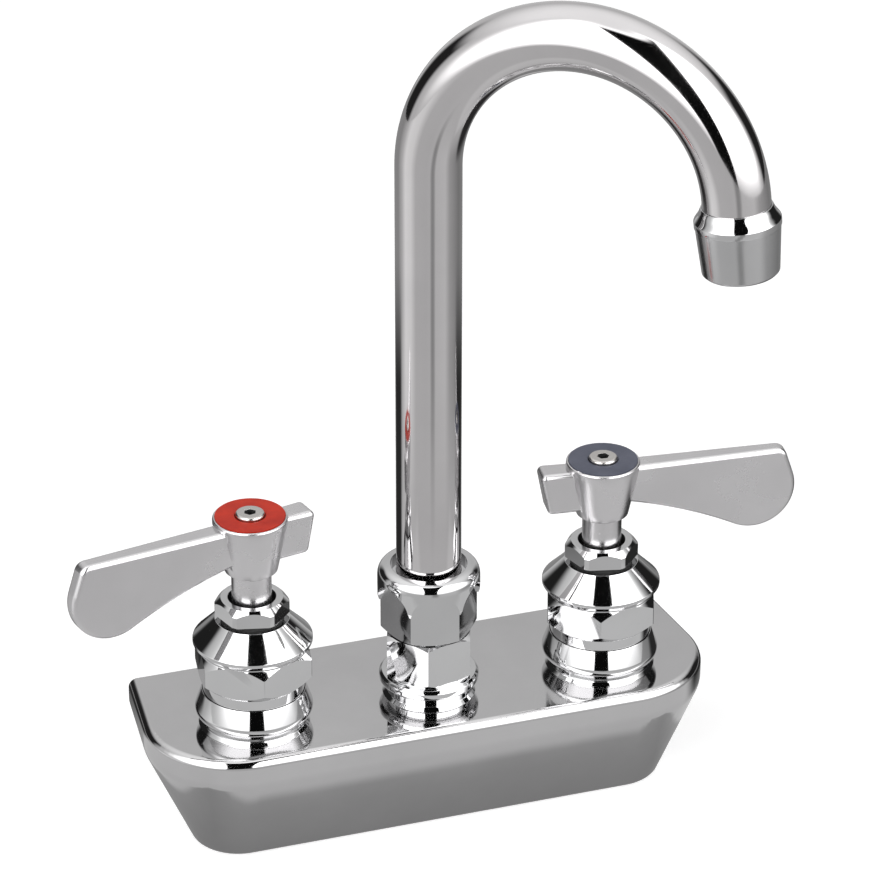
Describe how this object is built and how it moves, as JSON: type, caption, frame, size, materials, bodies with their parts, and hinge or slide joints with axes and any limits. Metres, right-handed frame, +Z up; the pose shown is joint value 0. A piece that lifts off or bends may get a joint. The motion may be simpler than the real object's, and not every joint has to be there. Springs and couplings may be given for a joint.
{
  "type": "gooseneck faucet",
  "caption": "Wall-mounted two-handle faucet with a swivelling gooseneck spout, lever handles and an aerator outlet.",
  "frame": {"origin": "on the wall face, midway between the two supply inlets", "axes": "+Y points into the wall, -Y towards the user, +X to the user's right along the wall, +Z up"},
  "size_m": [0.2098, 0.0977, 0.2481],
  "materials": {
    "black_rubber": "matt moulded rubber",
    "ceramic_disc": "lapped white alumina",
    "seal_plastic": "off-white sealing plastic",
    "turned_brass": "bare turned brass",
    "satin_chrome": "satin chrome plate on a cast lever",
    "stainless": "stainless steel",
    "index_red": "glossy red enamel",
    "index_blue": "glossy dark blue-grey enamel",
    "white_plastic": "moulded white plastic",
    "outlet_chrome": "satin chrome plate",
    "casting_chrome": "polished chrome plate on a brass casting",
    "polished_chrome": "mirror chrome plate on turned brass"
  },
  "bodies": {
    "fixed_body": {"body_casting": "casting_chrome", "hot_seat_seal": "black_rubber", "hot_fixed_disc": "ceramic_disc", "hot_cartridge_shell": "turned_brass", "hot_bonnet_seal": "black_rubber", "hot_bonnet": "polished_chrome", "hot_packing_ring": "seal_plastic", "hot_packing_nut": "polished_chrome", "cold_seat_seal": "black_rubber", "cold_fixed_disc": "ceramic_disc", "cold_cartridge_shell": "turned_brass", "cold_bonnet_seal": "black_rubber", "cold_bonnet": "polished_chrome", "cold_packing_ring": "seal_plastic", "cold_packing_nut": "polished_chrome", "adapter_gasket": "black_rubber", "spout_adapter": "polished_chrome", "swivel_washer": "seal_plastic", "friction_washer": "seal_plastic", "swivel_nut": "polished_chrome"},
    "hot_handle": {"hot_moving_disc": "ceramic_disc", "hot_stem": "turned_brass", "hot_stem_o_ring": "black_rubber", "hot_lever": "satin_chrome", "hot_index_ring": "index_red", "hot_handle_screw": "stainless"},
    "cold_handle": {"cold_moving_disc": "ceramic_disc", "cold_stem": "turned_brass", "cold_stem_o_ring": "black_rubber", "cold_lever": "satin_chrome", "cold_index_ring": "index_blue", "cold_handle_screw": "stainless"},
    "spout": {"swivel_sleeve": "turned_brass", "spout_o_ring_lower": "black_rubber", "spout_o_ring_upper": "black_rubber", "gooseneck_tube": "polished_chrome", "outlet_ferrule": "polished_chrome", "aerator_washer": "black_rubber", "aerator_screen": "stainless", "aerator_insert": "white_plastic", "aerator_housing": "outlet_chrome"}
  },
  "joints": [
    {"name": "spout_swivel", "type": "hinge", "parent": "fixed_body", "child": "spout", "pos_m": [0, -0.0314, 0.0205], "axis": [0, 0, 1], "range_deg": [-140, 40]},
    {"name": "hot_handle_turn", "type": "hinge", "parent": "fixed_body", "child": "hot_handle", "pos_m": [-0.0508, -0.0314, 0.0205], "axis": [0, 0, 1], "range_deg": [0, 90]},
    {"name": "cold_handle_turn", "type": "hinge", "parent": "fixed_body", "child": "cold_handle", "pos_m": [0.0508, -0.0314, 0.0205], "axis": [0, 0, 1], "range_deg": [-90, 0]}
  ]
}
